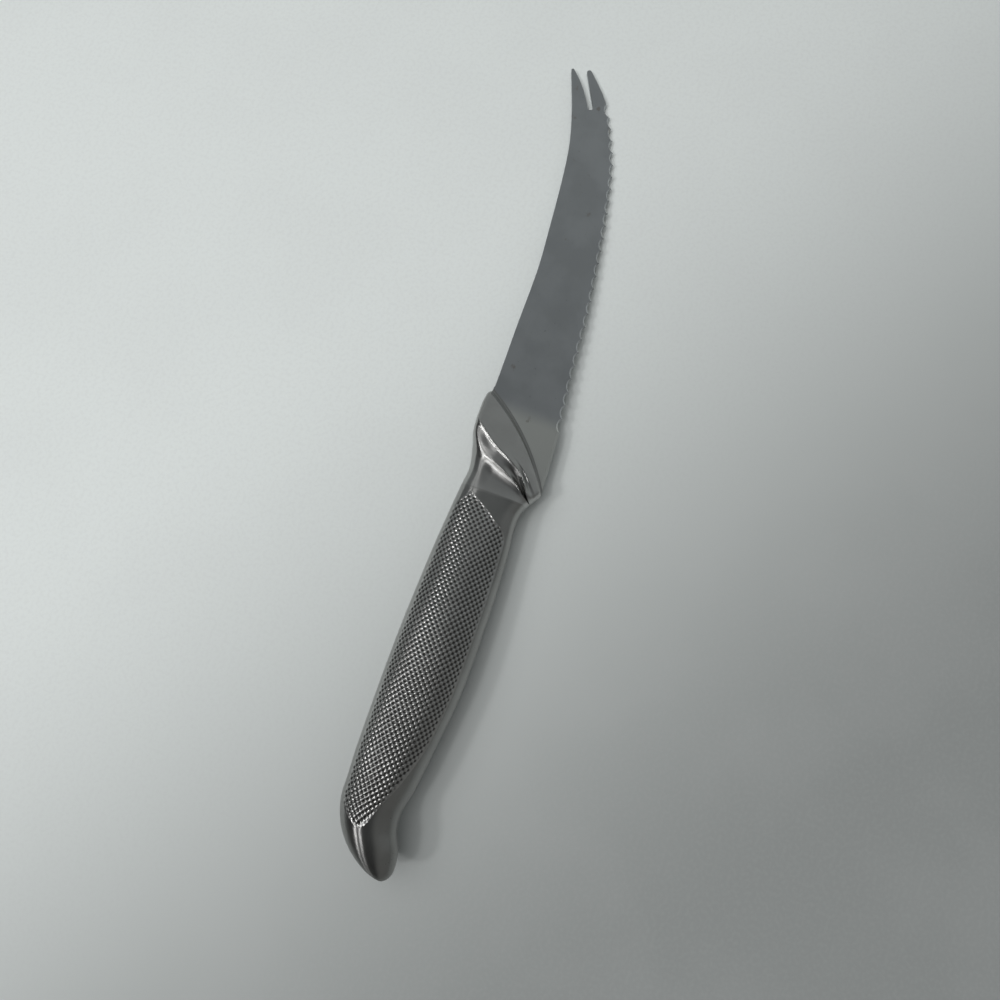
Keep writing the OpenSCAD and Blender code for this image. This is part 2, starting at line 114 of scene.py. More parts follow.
def mix(a, b, u):
    return a + (b - a) * u


def ease(a, b, x):
    """Rises smoothly from 0 at a to 1 at b."""
    u = np.clip((x - a) / (b - a), 0, 1)
    return u * u * (3 - 2 * u)


def quarter(x, length):
    """Rises like a quarter circle from 0 to 1 over a length."""
    return np.sqrt(np.clip(1 - (1 - np.minimum(x / length, 1)) ** 2, 0, 1))


def oval(t, n):
    """An arch over t from -1 to 1: an ellipse where n is 2, squarer with a higher n."""
    return np.sqrt(np.clip(1 - np.abs(t) ** n, 0, 1))


# Outlines, thickness and section of the handle

shell_spine = [[0, 0.86], [0.18, 0.87], [0.28, 0.93], [0.56, 1], [0.81, 0.965], [0.95, 0.9]]
shell_belly = [[0, -0.94], [0.033, -0.94], [0.079, -0.87], [0.12, -0.69], [0.164, -0.64],
               [0.226, -0.745], [0.34, -0.865], [0.49, -0.99], [0.7, -0.965], [0.865, -0.88], [0.963, -0.79]]
neck_belly = -0.89
bolster_spine = [[0, 0.865], [0.18, 0.83], [0.4, 0.96], [0.54, 1.075], [0.8, 1.125], [0.92, 1.11],
                 [0.975, 1.065], [1, 0.985]]
spine_points = ([[a * shell_l, b * half_w] for a, b in shell_spine]
                + [[neck_x + a * bolster_spine_l, b * half_w] for a, b in bolster_spine])
belly_points = ([[a * shell_l, b * half_w] for a, b in shell_belly]
                + [[neck_x, neck_belly * half_w], [heel_x, heel_y - heel_lap]])
pommel_tip_y = -0.72 * half_w
thick_points = [[0, pommel_t / 2 - pommel_end_dip], [0.09 * shell_l, pommel_t / 2],
                [0.25 * shell_l, mix(pommel_t, grip_t, 0.8) / 2], [0.45 * shell_l, grip_t / 2],
                [0.62 * shell_l, mix(neck_t, grip_t, 0.9) / 2],
                [0.86 * shell_l, mix(neck_t, grip_t, 0.3) / 2],
                [neck_x, neck_t / 2], [neck_x + spigot_l, neck_t / 2]]
least_rise = 0.05
pommel_fullness = 2.1
grip_fullness = 2.3
neck_fullness = 5
grip_from = (0.15, 0.35)
neck_from = (0.8, 1)


def spine_y(x):
    return mix(pommel_tip_y, curve(spine_points, x), quarter(x, pommel_back_l) ** pommel_back_power)


def belly_y(x):
    return mix(pommel_tip_y, curve(belly_points, x), quarter(x, pommel_hook_l))


def half_t(x):
    return curve(thick_points, x) * quarter(x, pommel_round) ** pommel_round_power


def fullness(x):
    """How square the grip's section is: roundest at the pommel, fullest at the neck."""
    grip = mix(pommel_fullness, grip_fullness, ease(*grip_from, x / shell_l))
    return mix(grip, neck_fullness, ease(*neck_from, x / shell_l))


def across(x, t, inset=0.0):
    """Points of the grip's skin: t runs from -1 at the belly to 1 at the spine."""
    high = np.maximum(half_t(x) - inset, half_seam + least_rise)
    edge = np.where(t > 0, spine_y(x) - inset, belly_y(x) + inset)
    y = mix((belly_y(x) + spine_y(x)) / 2, edge, np.abs(t))
    z = half_seam + (high - half_seam) * oval(t, fullness(x))
    return np.stack([x + 0 * y, y, z], -1)


# Modelling moves

tiny = 1e-12
merge_gap = 1e-6
arc_steps = 121
spine_to_belly = np.cos(np.linspace(0, math.pi, arc_steps))


def pick(piece):
    bpy.ops.object.select_all(action="DESELECT")
    piece.select_set(True)
    bpy.context.view_layer.objects.active = piece


def facing_out(piece):
    """Merges the points that meet and turns the faces outwards."""
    pick(piece)
    bpy.ops.object.mode_set(mode="EDIT")
    bpy.ops.mesh.select_all(action="SELECT")
    bpy.ops.mesh.remove_doubles(threshold=merge_gap)
    bpy.ops.mesh.normals_make_consistent(inside=False)
    bpy.ops.object.mode_set(mode="OBJECT")
    return piece


def finished(piece, cad_node, corner=40):
    """Cleans the mesh, smooths all but its corners (in degrees) and joins the piece to the frame."""
    facing_out(piece)
    bpy.ops.object.shade_smooth_by_angle(angle=math.radians(corner))
    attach(piece, "root")
    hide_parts(cad_node)
    return piece


def named(name):
    """The primitive just added, under its own name."""
    piece = bpy.context.object
    piece.name = name
    piece.data.name = name
    return piece


def grid_piece(name, points):
    """A grid primitive whose points are moved to the given places."""
    rows, count = points.shape[:2]
    bpy.ops.object.select_all(action="DESELECT")
    bpy.ops.mesh.primitive_grid_add(x_subdivisions=count - 1, y_subdivisions=rows - 1, size=1)
    piece = named(name)
    piece.data.vertices.foreach_set("co", placed(points).astype(np.float32).ravel())
    piece.data.update()
    return piece


def tube(name, rings):
    """A grid rolled into a tube: each ring ends with its first point again, for the merge to close."""
    rings = np.asarray(rings)
    return grid_piece(name, np.concatenate([rings, rings[:, :1]], axis=1))


def cap(piece, corners):
    """Closes a hole with one face over the given points."""
    pick(piece)
    bpy.ops.object.mode_set(mode="EDIT")
    bpy.ops.mesh.select_mode(type="VERT")
    bpy.ops.mesh.select_all(action="DESELECT")
    bpy.ops.object.mode_set(mode="OBJECT")
    for k in corners:
        piece.data.vertices[k].select = True
    bpy.ops.object.mode_set(mode="EDIT")
    bpy.ops.mesh.edge_face_add()
    bpy.ops.object.mode_set(mode="OBJECT")


def closed_tube(name, rings):
    """A tube with a face over each end."""
    rings = np.asarray(rings)
    rows, count = rings.shape[:2]
    piece = tube(name, rings)
    last = (count + 1) * (rows - 1)
    cap(piece, range(count))
    cap(piece, range(last, last + count))
    return piece


def both_faces(line):
    """A ring from one right-hand line of points: over the right face and back along the left."""
    return np.concatenate([line, (line * [1, 1, -1])[::-1]])


def apply(piece, modifier):
    pick(piece)
    bpy.ops.object.modifier_apply(modifier=modifier.name)


def cut(piece, cutter, way="DIFFERENCE"):
    """Cuts one solid with another, or joins the two, and clears the second away."""
    modifier = piece.modifiers.new("cut", "BOOLEAN")
    modifier.operation = way
    modifier.solver = "EXACT"
    modifier.object = cutter
    facing_out(piece)
    apply(piece, modifier)
    bpy.data.objects.remove(cutter)


def plate(name, outline, inset):
    """A plate over an outline, as thick as the blade less the inset on each face."""
    bpy.ops.object.select_all(action="DESELECT")
    bpy.ops.mesh.primitive_circle_add(vertices=len(outline), radius=grip_w * MM, fill_type="NGON")
    piece = named(name)
    for vertex, (x, y) in zip(piece.data.vertices, outline):
        vertex.co = placed([x, y, inset - blade_t(x, y) / 2])
    bpy.ops.object.mode_set(mode="EDIT")
    bpy.ops.mesh.select_all(action="SELECT")
    bpy.ops.mesh.extrude_region_move(TRANSFORM_OT_translate={"value": (0, 0, MM)})
    bpy.ops.object.mode_set(mode="OBJECT")
    for vertex in piece.data.vertices:
        if vertex.select:
            x, y = ((np.array(vertex.co) - origin) / MM)[:2]
            vertex.co.z = placed([x, y, blade_t(x, y) / 2 - inset])[2]
    return facing_out(piece)


# The sunk panel of each half shell

panel_low_x = 12
panel_high_x = shell_l - 0.8
belly_band = 1.9
spine_band = 1.1
panel_corner_y = 6.5
panel_low_l = 26
panel_spine_low_l = 6
panel_spine_high_l = 5
panel_belly_high_l = 10.5
panel_tip_y = 0.17 * half_w
low_shape = [[0, 0], [0.03, 0.17], [0.14, 0.36], [0.36, 0.62], [0.63, 0.84], [1, 1], [2, 1.01]]
high_shape = [[-1, 0], [0, 0], [0.28, 0.09], [0.5, 0.33], [0.74, 0.6], [1, 1]]


def panel_spine_y(x):
    edge = spine_y(x) - spine_band
    if x > panel_high_x - panel_spine_high_l:
        return mix(edge, panel_corner_y, ease(panel_high_x - panel_spine_high_l, panel_high_x, x))
    return mix(panel_tip_y, edge, quarter(x - panel_low_x, panel_spine_low_l))


def panel_belly_y(x):
    edge = belly_y(x) + belly_band
    if x > panel_high_x - panel_belly_high_l:
        return mix(edge, panel_corner_y, curve(high_shape, 1 - (panel_high_x - x) / panel_belly_high_l))
    return mix(panel_tip_y, edge, curve(low_shape, min((x - panel_low_x) / panel_low_l, 1)))


# The texture: bumps and pits in turn on a staggered lattice, shallower near the panel's border

bump_l = 0.92
bump_w = 0.8
bump_top = 0.015
pit_bottom = 0.3
pit_power = 1.3
splits = 4
border_columns = 5
columns = 152
half_columns = columns / 2
pommel_rows = 40
first_pommel_row = 3
hollow_start = 5
skin_turn = np.linspace(0, math.pi, 481)
hollow_turn = np.linspace(math.pi, 0, 25)


def grip_row(x):
    """One row of the grip's skin from spine to belly, with each point's depth below it.

    On the panel the points keep the lattice's step. Two of them move onto its edges, and the rest share
    out the bands beside it. The depth is 0 off the panel.
    """
    line = across(np.full_like(skin_turn, x), np.cos(skin_turn))
    way = np.concatenate([[0], np.cumsum(np.linalg.norm(np.diff(line, axis=0), axis=1))])
    middle = way[len(way) // 2]
    step = bump_w / splits
    k = np.arange(columns + 1) - half_columns
    upper = lower = middle
    textured = panel_low_x < x < panel_high_x
    if textured:
        upper = np.interp(-panel_spine_y(x), -line[:, 1], way)
        lower = np.interp(-panel_belly_y(x), -line[:, 1], way)
    k_upper = (upper - middle) / step
    k_lower = (lower - middle) / step
    at = middle + k * step
    at = np.where(np.abs(k - k_upper) < 0.5, upper, at)
    at = np.where(np.abs(k - k_lower) < 0.5, lower, at)
    at = np.where(k < k_upper - 0.5, upper * (k + half_columns) / (k_upper + half_columns), at)
    at = np.where(k > k_lower + 0.5, mix(lower, way[-1], (k - k_lower) / (half_columns - k_lower)), at)
    on_floor = (k > k_upper + 0.5) & (k < k_lower - 0.5) & textured
    wave = np.cos(math.pi * (x - panel_low_x) / bump_l) * np.cos(math.pi * (at - middle) / bump_w)
    from_border = np.clip(np.minimum(k - k_upper, k_lower - k) / border_columns, 0, 1)
    dip = mix(bump_top, pit_bottom, from_border * ((1 - wave) / 2) ** pit_power)
    y = np.interp(at, way, line[:, 1])
    z = np.interp(at, way, line[:, 2])
    return np.stack([np.full_like(y, x), y, z], -1), np.where(on_floor, dip, 0)


def grip_stations():
    """Where the rows lie along x: closer towards the pommel's tip, then evenly over the panel."""
    turns = [math.pi / 2 * k / pommel_rows for k in range(first_pommel_row, pommel_rows + 1)]
    low = [panel_low_x * (1 - math.cos(turn)) for turn in turns]
    count = int((panel_high_x - panel_low_x) * splits / bump_l)
    high = [panel_low_x + bump_l / splits * (k + 1) for k in range(count)]
    return np.array([pommel_tip_x] + low + high + [panel_high_x, shell_l])


def hollow_x(x):
    """Where the hollow's row lies for a row of the skin: the hollow starts deeper in the pommel."""
    return hollow_start + x * (shell_l - hollow_start) / shell_l


def normals_of(grid):
    """Outward normals of a grid of points whose rows run along x and columns from spine to belly."""
    n = np.cross(np.gradient(grid, axis=1), np.gradient(grid, axis=0))
    return n / np.maximum(np.linalg.norm(n, axis=-1, keepdims=True), tiny)


stations = grip_stations()


def half_shell(name, cad_node, side):
    """A pressed half: textured skin outside, plain wall inside, a flat rim for the seam."""
    rows = [grip_row(x) for x in stations]
    skin = np.array([points for points, depth in rows])
    depths = np.array([depth for points, depth in rows])
    skin = skin - normals_of(skin) * depths[..., None]
    skin[..., 2] = np.maximum(skin[..., 2], half_seam)
    hollow = np.array([
        across(np.full_like(hollow_turn, hollow_x(x)), np.cos(hollow_turn), wall) for x in stations])
    rings = np.concatenate([skin, hollow], axis=1)
    rings[..., 2] *= side
    piece = tube(name, rings)
    count = rings.shape[1] + 1
    outer = columns + 1
    # How deep each point is sunk, which the knurl's steel turns into painted shade in the pits
    sunk = np.zeros((len(stations), count))
    sunk[:, :outer] = depths / pit_bottom
    piece.data.attributes.new("sunk", "FLOAT", "POINT").data.foreach_set("value", sunk.ravel())
    last = count * (len(stations) - 1)
    tip_outside = range(outer)
    tip_inside = range(outer, count - 1)
    neck_end = range(last, last + count - 1)
    tip_rim = (0, outer - 1, outer, count - 2)
    for hole in (tip_outside, tip_inside, neck_end, tip_rim):
        cap(piece, hole)
    return finished(piece, cad_node)


right = half_shell("right_half_shell", "right_shell", 1)
left = half_shell("left_half_shell", "left_shell", -1)

# The ground seam between the halves: a low bead all the way round, from the neck and back to it

bead_crown = 0.03
bead_z = np.linspace(-1, 1, 7) * half_seam


def seam_bead():
    """The bead stands on the rim's outline, and its inner side lies on the hollow's wall."""
    spine_way = [[x, spine_y(x), hollow_x(x), spine_y(hollow_x(x)) - wall] for x in stations[::-1]]
    belly_way = [[x, belly_y(x), hollow_x(x), belly_y(hollow_x(x)) + wall] for x in stations]
    way = np.array(spine_way + belly_way)
    along = np.gradient(way[:, :2], axis=0)
    out = np.stack([along[:, 1], -along[:, 0]], -1)
    out /= np.maximum(np.linalg.norm(out, axis=1, keepdims=True), tiny)
    out[:, 1] = np.abs(out[:, 1]) * np.sign(way[:, 1] - way[:, 3])
    out[:, 0] = -np.abs(out[:, 0]) * (way[:, 0] < hollow_start)
    lines = []
    for z in bead_z:
        rise = bead_crown * (1 - (z / half_seam) ** 2)
        lines.append(np.column_stack([way[:, :2] + out * rise, np.full(len(way), z)]))
    for z in (half_seam, -half_seam):
        lines.append(np.column_stack([way[:, 2:], np.full(len(way), z)]))
    piece = closed_tube("seam_bead", np.array(lines).transpose(1, 0, 2))
    return finished(piece, "seam_weld")


seam = seam_bead()

# The ground weld between the grip and the bolster

neck_profile = [[0, -0.01], [0.12, 0], [0.3, 0.004], [0.5, 0.006], [0.7, 0.004], [0.88, 0], [1, -0.01]]
neck_floor = [1, 0.5, 0]


def neck_bead():
    """A ring over the profile and back along the wall's inner face, closed on itself."""
    rings = []
    for share, rise in neck_profile:
        rings.append(both_faces(across(shell_l + share * neck_weld_w, spine_to_belly, -rise)))
    for share in neck_floor:
        rings.append(both_faces(across(shell_l + share * neck_weld_w, spine_to_belly, wall)))
    rings.append(rings[0])
    return finished(tube("neck_bead", rings), "neck_weld")


neck = neck_bead()

# The fork's two tips, and the blade's thickness as a plane through its values at root, heel and fork

top_r = 0.5
low_r = 0.8
fork_stagger = 1.4
fork_spread = 5.3
notch = np.array([notch_x, half_w])
heel = np.array([heel_x, heel_y - heel_lap])
fork_top = np.array([tip_x - fork_stagger - top_r, fork_top_y - top_r])
fork_low = np.array([tip_x - low_r, fork_top[1] - fork_spread])
to_notch = notch - heel
to_fork = (fork_top + fork_low) / 2 - heel
span = to_notch[0] * to_fork[1] - to_fork[0] * to_notch[1]
lean_x = ((spine_t - heel_t) * to_fork[1] - (tip_t - heel_t) * to_notch[1]) / span
lean_y = (to_notch[0] * (tip_t - heel_t) - to_fork[0] * (spine_t - heel_t)) / span


def blade_t(x, y):
    return heel_t + lean_x * (x - heel[0]) + lean_y * (y - heel[1])


# The bolster's front edge, an arc from the notch on the spine to the heel

front_bow = 2.3
chord = np.linalg.norm(notch - heel)
front_r = ((chord / 2) ** 2 + front_bow ** 2) / (2 * front_bow)
front_dir = (notch - heel) / chord
front_out = np.array([front_dir[1], -front_dir[0]])
front_mid = (notch + heel) / 2
front_half = math.asin(chord / 2 / front_r)


def front(t, off=0.0):
    """Points of the front edge: t runs from -1 at the heel to 1 at the notch, off is millimetres past it."""
    a = front_half * np.asarray(t, float)[..., None]
    r = front_r + off
    return front_mid + front_out * (front_bow - front_r + r * np.cos(a)) + front_dir * r * np.sin(a)


# Heights over the bolster, on lines from the neck (share 0) to the front edge (share 1)

crest_h = 6.4
facet_h = 2.6
step_h = 0.9
valley_h = 2.2
neck_dip = 0.5
crest_fall = 1.2
past_crest_fall = 1.3
foot_h = 0.12
crest_share = [[-1, 0.3], [-0.8, 0.38], [-0.6, 0.54], [-0.4, 0.6], [0, 0.585], [0.4, 0.575], [0.8, 0.63],
               [1, 0.66]]
fold_share = [[-1, 0.2], [-0.7, 0.28], [-0.4, 0.35], [0, 0.37], [1, 0.37]]
second_share = 0.71
fillet_share = 0.965
spine_part = (0.3, 0.75)
belly_part = (-0.8, 0.1)
front_fullness = 26
front_from = (0.3, 0.62)


def fold(t, edge):
    """One line's [share, height] points: the neck, the lip, the crest, the facet and the foot."""
    spine = ease(*spine_part, t)
    belly = 1 - ease(*belly_part, t)
    crest_at = curve(crest_share, t)
    fold_at = curve(fold_share, t)
    foot = neck_t / 2 - neck_dip * (1 - spine)
    crest = crest_h - crest_fall * belly
    step = step_h * (1 - spine) * (1 - belly)
    lip = foot + step
    facet = mix(facet_h, crest, (fillet_share - second_share) / (fillet_share - crest_at))
    past_lip = mix(lip, crest, 0.3 * spine)
    under_crest = mix(lip + 0.1, crest - 0.3, spine)
    past_crest = mix(crest, facet, 0.55)
    return [
        [0, neck_t / 2],
        [0.35 * fold_at, mix(neck_t / 2, foot, 0.7)],
        [0.6 * fold_at, foot],
        [0.8 * fold_at, foot + 0.28 * step],
        [fold_at - 0.02, foot + 0.72 * step],
        [fold_at, lip],
        [mix(fold_at, crest_at, 0.35), mix(past_lip, crest - valley_h, belly)],
        [crest_at - 0.05, mix(under_crest, crest - 0.4, belly)],
        [crest_at, crest],
        [mix(crest_at, second_share, 0.55), mix(past_crest, crest - past_crest_fall, belly)],
        [second_share, facet],
        [fillet_share, facet_h],
        [0.99, mix(edge + foot_h, facet_h, 0.35)],
        [1, edge + foot_h],
        [1.1, edge]]


# The tang inside the handle

tang_l = 14
tang_w = 9
tang_step = 0.12
tang_gap = 0.05
tang_reach = braze_w + 1
tang_top_share = 0.7
tang_bottom_share = -0.62
tang_y = -0.1 * half_w
tang_tail_w = 0.7 * tang_w
tang_corner = 2


def tang_outline(grow):
    """The tang seen from its face, grown by a gap, from the blade's side of the front edge to its tail."""
    top_out = front(tang_top_share, tang_reach)
    low_out = front(tang_bottom_share, tang_reach)
    top_in = front(tang_top_share)
    low_in = front(tang_bottom_share)
    tail_x = shell_l - tang_l
    tail = tang_tail_w / 2
    return np.array([
        [top_out[0], top_out[1] + grow], [top_in[0], top_in[1] + grow],
        [neck_x, tang_y + tang_w / 2 + grow], [tail_x + tang_corner, tang_y + tail + grow],
        [tail_x - grow, tang_y + tail - tang_corner], [tail_x - grow, tang_y - tail + tang_corner],
        [tail_x + tang_corner, tang_y - tail - grow], [neck_x, tang_y - tang_w / 2 - grow],
        [low_in[0], low_in[1] - grow], [low_out[0], low_out[1] - grow]])


# The bolster

bolster_rows = 220
front_closing = 0.998
bolster_shares = mix(np.linspace(0, 1, bolster_rows), np.sin(np.linspace(0, math.pi / 2, bolster_rows)), 0.5)


def bolster_line(t):
    """One line over the right-hand face, from the neck to the front edge."""
    tip = front(t)
    share = (tip[1] - heel[1]) / (notch[1] - heel[1])
    r = bolster_shares
    x = neck_x + r * (tip[0] - neck_x)
    top = spine_y(neck_x + r * bolster_spine_l)
    bottom = belly_y(neck_x + r * bolster_heel_l)
    y = mix(bottom, top, mix((t + 1) / 2, share, r))
    edge = blade_t(tip[0], tip[1]) / 2
    rim = mix(half_seam, edge, r)
    n = mix(neck_fullness, front_fullness, ease(*front_from, r))
    return np.stack([x, y, rim + (curve(fold(t, edge), r) - rim) * oval(t, n)], -1)


def spigot_ring(x):
    """A ring of the straight spigot, clear of the grip's wall at both of its ends."""
    grip = wall + spigot_gap
    far = shell_l - spigot_l
    top = min(spine_y(shell_l), spine_y(far)) - grip
    bottom = max(belly_y(shell_l), belly_y(far)) + grip
    y = mix(bottom, top, (spine_to_belly + 1) / 2)
    z = half_seam + (neck_t / 2 - grip - half_seam) * oval(spine_to_belly, fullness(shell_l))
    return both_faces(np.stack([x + 0 * z, y, z], -1))


def bolster_piece():
    """The spigot and the fold as one skin, closed along the front's middle and slotted for the tang."""
    skin = np.array([bolster_line(t) for t in spine_to_belly]).transpose(1, 0, 2)
    rings = [spigot_ring(shell_l - spigot_l), spigot_ring(neck_x)] + [both_faces(row) for row in skin]
    middle = front(front_closing * spine_to_belly)
    rings.append(both_faces(np.column_stack([middle, np.zeros(len(middle))])))
    piece = tube("bolster_fold", rings)
    cap(piece, range(2 * arc_steps))
    cut(piece, plate("tang_slot", tang_outline(tang_gap), tang_step - tang_gap))
    return finished(piece, "bolster")


bolster = bolster_piece()

# The braze between the bolster and the blade: a low fillet along the front edge

braze_profile = [[0, foot_h], [0.25, 0.055], [0.55, 0.018], [1, 0.004]]


def braze_fillet():
    """The fillet on both faces in one, with the tang's way cut through it."""
    shares = np.linspace(-1, 1, arc_steps)
    lines = []
    for share, rise in braze_profile:
        line = front(shares, share * braze_w)
        line[:, 1] = np.maximum(line[:, 1], heel_y)
        lines.append(np.column_stack([line, blade_t(line[:, 0], line[:, 1]) / 2 + rise]))
    piece = closed_tube("braze_fillet", both_faces(np.array(lines)).transpose(1, 0, 2))
    cut(piece, plate("tang_pass", tang_outline(0), tang_step))
    return finished(piece, "blade_braze", corner=60)


braze = braze_fillet()

# The blade's outline: spine and edge as curves, the fork as round corners between them

fork_l = 12.7
fork_slot_w = 1.8
slot_angle = math.radians(20.5)
slot_bow = 0.6
slot_points = 13
outline_steps = 60
corner_steps = 12
spine_shape = [[0, 0.03], [0.012, 0.004], [0.2, 0.04], [0.37, 0.066], [0.5, 0.16], [0.66, 0.3], [0.76, 0.43],
               [0.86, 0.65]]
edge_shape = [[0, 0], [0.13, 0.035], [0.3, 0.115], [0.42, 0.165], [0.54, 0.24], [0.66, 0.33], [0.78, 0.445],
              [0.84, 0.54], [0.898, 0.645], [0.92, 0.71], [0.945, 0.785], [0.972, 0.885]]

# In degrees: where a curve meets a round corner, and the arc drawn between two of these

spine_meets = 112
top_arc = (100, -40)
slot_meets_top = -48
slot_meets_root = 118
root_arc = (140, 270)
low_arc = (110, -36)
edge_meets = -42


def on_circle(centre, r, degrees):
    a = np.radians(degrees)
    return np.asarray(centre) + r * np.stack([np.cos(a), np.sin(a)], -1)


def arc(centre, r, start, end):
    return on_circle(centre, r, np.linspace(start, end, corner_steps + 1))


top_start = on_circle(fork_top, top_r, spine_meets)
low_start = on_circle(fork_low, low_r, edge_meets)
slot_root = fork_low - fork_l * np.array([math.cos(slot_angle), math.sin(slot_angle)])
edge_l, edge_rise = low_start - [heel_x, heel_y]
blade_spine = [[notch_x + a * blade_l, root_y + b * tip_rise] for a, b in spine_shape] + [list(top_start)]
blade_edge = [[heel_x + a * edge_l, heel_y + b * edge_rise] for a, b in edge_shape] + [list(low_start)]


def slot_upper_side():
    """The slot's upper side, a shallow bow from the fork's upper tip back to the slot's root."""
    root = on_circle(slot_root, fork_slot_w / 2, slot_meets_root)
    tip = on_circle(fork_top, top_r, slot_meets_top)
    way = (tip - root) / np.linalg.norm(tip - root)
    out = np.array([-way[1], way[0]])
    u = np.linspace(1, 0, slot_points)[:, None]
    return root + (tip - root) * u - out * 4 * slot_bow * u * (1 - u)


def blade_outline():
    """From the neck along the spine, round the fork and back along the edge."""
    spine_x = np.linspace(notch_x, top_start[0], outline_steps + 1)
    edge_x = np.linspace(low_start[0], heel_x, outline_steps + 1)
    return np.concatenate([
        [[neck_x, root_y], [notch_x - 1, blade_spine[0][1]]],
        np.column_stack([spine_x, curve(blade_spine, spine_x)]),
        arc(fork_top, top_r, *top_arc),
        slot_upper_side(),
        arc(slot_root, fork_slot_w / 2, *root_arc),
        arc(fork_low, low_r, *low_arc),
        np.column_stack([edge_x, curve(blade_edge, edge_x)]),
        [[neck_x, heel_y]]])


def behind_front(off):
    """All that lies behind the front edge, or behind a line off millimetres past it."""
    first = front(1, off)
    last = front(-1, off)
    far = 2 * blade_w
    return np.concatenate([
        front(np.linspace(1, -1, arc_steps), off), [[last[0], -far], [0, -far], [0, far], [first[0], far]]])


# The blade's edge: round scallops up to the plain stretch at the heel, which has a bevel

tooth_pitch = 4.27
tooth_depth = 1
grind_w = 0.4
first_tooth_x = tip_x - 14
scallop_turns = 120
scallop_r = ((tooth_pitch / 2) ** 2 + tooth_depth ** 2) / (2 * tooth_depth)
cutter_sets = 3
plain_l = 22
bevel_w = 0.8
bevel_land = 0.12
bevel_steps = 24
slope_step = 0.01
cutter_spare = 1
facing_down = -0.9


def edge_slope(x):
    """The edge's direction, as a unit vector."""
    rise = curve(blade_edge, x + slope_step) - curve(blade_edge, x - slope_step)
    d = np.array([1, rise / (2 * slope_step)])
    return d / np.linalg.norm(d)


def scallop_cutter(x):
    """A round cut through the edge, opened towards the right-hand face by its grind."""
    d = edge_slope(x)
    y = curve(blade_edge, x)
    t = blade_t(x, y)
    centre = np.array([x, y]) + np.array([d[1], -d[0]]) * (scallop_r - tooth_depth)
    bpy.ops.object.select_all(action="DESELECT")
    bpy.ops.mesh.primitive_cone_add(
        vertices=scallop_turns, radius1=scallop_r * MM, radius2=(scallop_r + 2 * grind_w) * MM,
        depth=2 * t * MM, location=placed([centre[0], centre[1], t / 2]))
    cutter = bpy.context.object
    bpy.ops.object.mode_set(mode="EDIT")
    bpy.ops.mesh.select_all(action="DESELECT")
    bpy.ops.object.mode_set(mode="OBJECT")
    for face in cutter.data.polygons:
        face.select = face.normal.z < facing_down
    bpy.ops.object.mode_set(mode="EDIT")
    bpy.ops.mesh.extrude_region_move(TRANSFORM_OT_translate={"value": (0, 0, -cutter_spare * MM)})
    bpy.ops.object.mode_set(mode="OBJECT")
    return cutter


def scallop_cutters():
    """All the scallops, in three cutters whose cones stand clear of one another."""
    groups = [[] for k in range(cutter_sets)]
    x = first_tooth_x + tooth_pitch / 2
    count = 0
    while x >= heel_x + plain_l:
        groups[count % cutter_sets].append(scallop_cutter(x))
        x -= tooth_pitch * edge_slope(x)[0]
        count += 1
    for group in groups:
        pick(group[0])
        for cutter in group:
            cutter.select_set(True)
        bpy.ops.object.join()
    return [group[0] for group in groups]


def plain_edge_wedge():
    """A wedge along the plain stretch that leaves the bevel and a thin land at the edge."""
    rings = []
    for x in np.linspace(heel_x - cutter_spare, heel_x + plain_l, bevel_steps + 1):
        d = edge_slope(x)
        y = curve(blade_edge, x)
        t = blade_t(x, y)
        drop = (t - bevel_land) / bevel_w * cutter_spare
        section = [[-bevel_w - cutter_spare, t / 2 + drop], [cutter_spare, t / 2 + drop],
                   [cutter_spare, bevel_land - t / 2 - drop]]
        rings.append([[x + d[1] * out, y - d[0] * out, z] for out, z in section])
    return facing_out(closed_tube("edge_wedge", rings))


# The blade: drawn, thickened between its two leaning faces, rounded along the rim, cut and sharpened

rim_round = 0.12
rim_round_steps = 2
rim_corner = 60
blade_spare = 3


def blade_piece():
    piece = plate("forked_blade", blade_outline(), 0)
    soften = piece.modifiers.new("eased_rim", "BEVEL")
    soften.limit_method = "ANGLE"
    soften.angle_limit = math.radians(rim_corner)
    soften.width = rim_round * MM
    soften.segments = rim_round_steps
    apply(piece, soften)
    cut(piece, plate("behind_the_front", behind_front(braze_w), -blade_spare))
    cut(piece, plate("tang", tang_outline(0), tang_step), "UNION")
    for cutter in scallop_cutters():
        cut(piece, cutter)
    cut(piece, plain_edge_wedge())
    return finished(piece, "blade", corner=12)


blade = blade_piece()

# Material moves: a host is a material or the world, and a Mix node's colour sockets go by number

mix_share = 0
mix_under = 6
mix_over = 7
mix_result = 2


def add_node(host, kind, **settings):
    made = host.node_tree.nodes.new("ShaderNode" + kind)
    for name, value in settings.items():
        setattr(made, name, value)
    return made


def link(host, output, socket):
    host.node_tree.links.new(output, socket)


def surface_of(material):
    return material.node_tree.nodes["Principled BSDF"]


def new_material(name, colour, roughness):
    material = bpy.data.materials.new(name)
    material.use_nodes = True
    surface = surface_of(material)
    surface.inputs["Base Color"].default_value = (*colour, 1)
    surface.inputs["Roughness"].default_value = roughness
    return material


def own_place(material):
    return add_node(material, "TexCoord").outputs["Object"]


def noise(material, scale, detail, stretch=(1, 1, 1)):
    """Noise over the piece's own place, scale in cycles a millimetre, stretched where asked."""
    fit = add_node(material, "Mapping")
    fit.inputs["Scale"].default_value = [scale * s / MM for s in stretch]
    grain = add_node(material, "TexNoise")
    grain.inputs["Scale"].default_value = 1
    grain.inputs["Detail"].default_value = detail
    link(material, own_place(material), fit.inputs["Vector"])
    link(material, fit.outputs["Vector"], grain.inputs["Vector"])
    return grain.outputs["Fac"]


